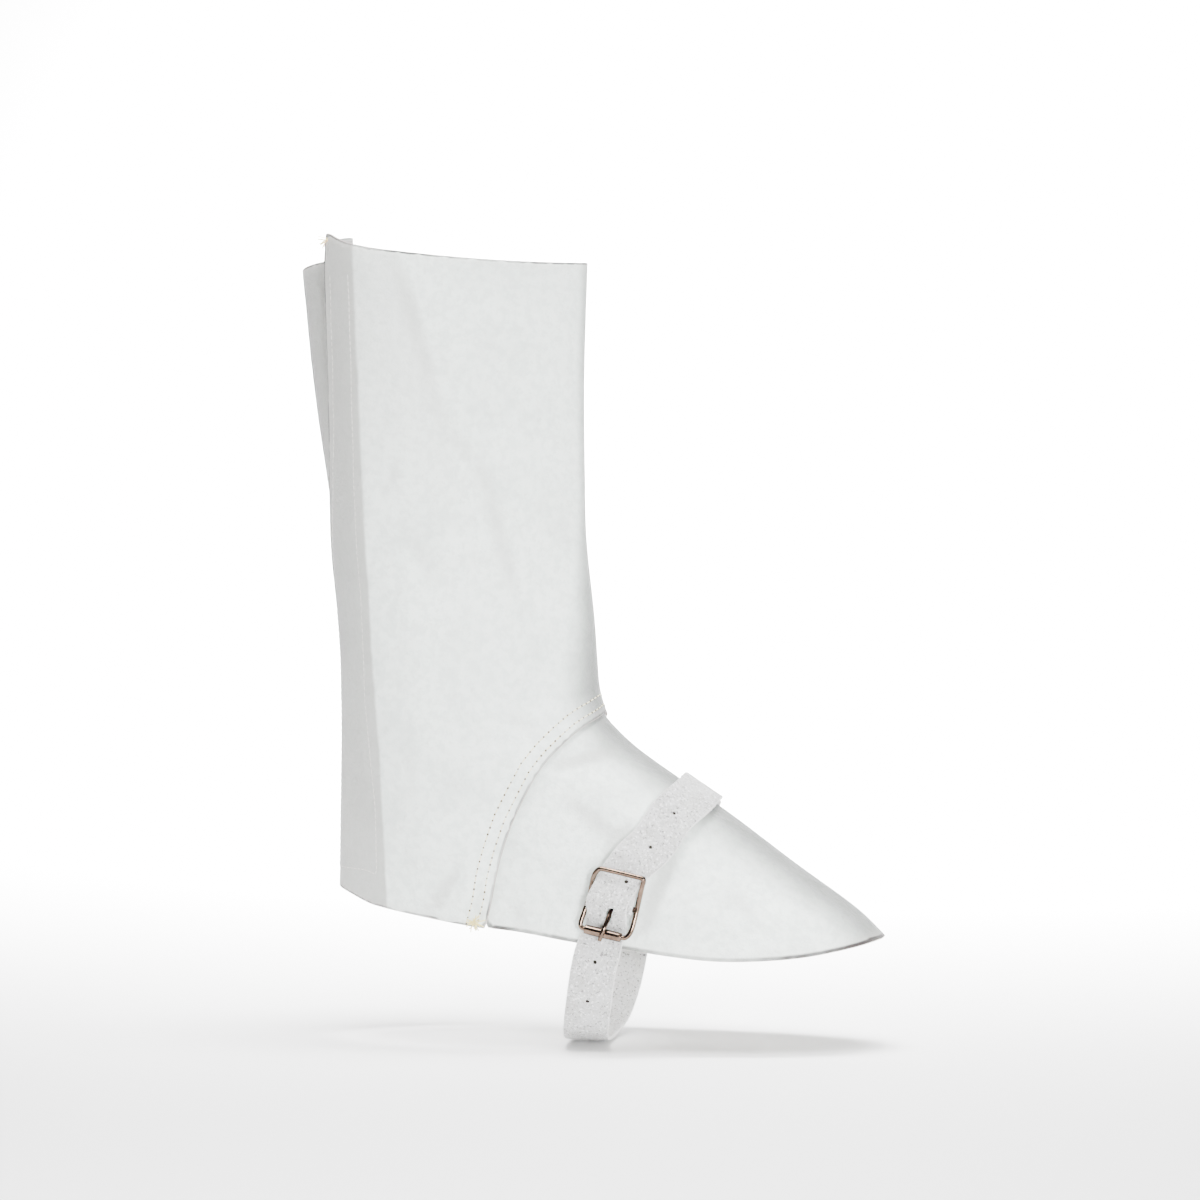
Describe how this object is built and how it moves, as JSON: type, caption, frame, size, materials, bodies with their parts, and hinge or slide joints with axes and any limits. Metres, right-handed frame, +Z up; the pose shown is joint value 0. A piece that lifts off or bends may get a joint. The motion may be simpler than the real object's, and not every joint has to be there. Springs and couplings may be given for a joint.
{
  "type": "welding gaiter",
  "caption": "Split leather welding gaiter, worn form: wrapped leg panel, instep vamp, rear hook-and-loop lap and a buckled strap under the sole.",
  "frame": {"origin": "centre of the hollow at the ankle, where the wearer's leg and boot fill the gaiter", "axes": "+Z up along the leg, +X to the toe, +Y to the inner side of the leg, away from the buckle"},
  "size_m": [0.2946, 0.115, 0.3989],
  "materials": {
    "split_leather": "off-white chrome split, soft nap",
    "strap_leather": "grey-white suede",
    "closure_tape": "woven hook-and-loop tape",
    "nickel": "polished nickel"
  },
  "bodies": {
    "root": {"leg_panel": "split_leather", "vamp": "split_leather", "hook_tape": "closure_tape", "loop_tape": "closure_tape", "strap": "strap_leather", "buckle_frame": "nickel", "buckle_roller": "nickel", "buckle_prong": "nickel"}
  },
  "joints": []
}
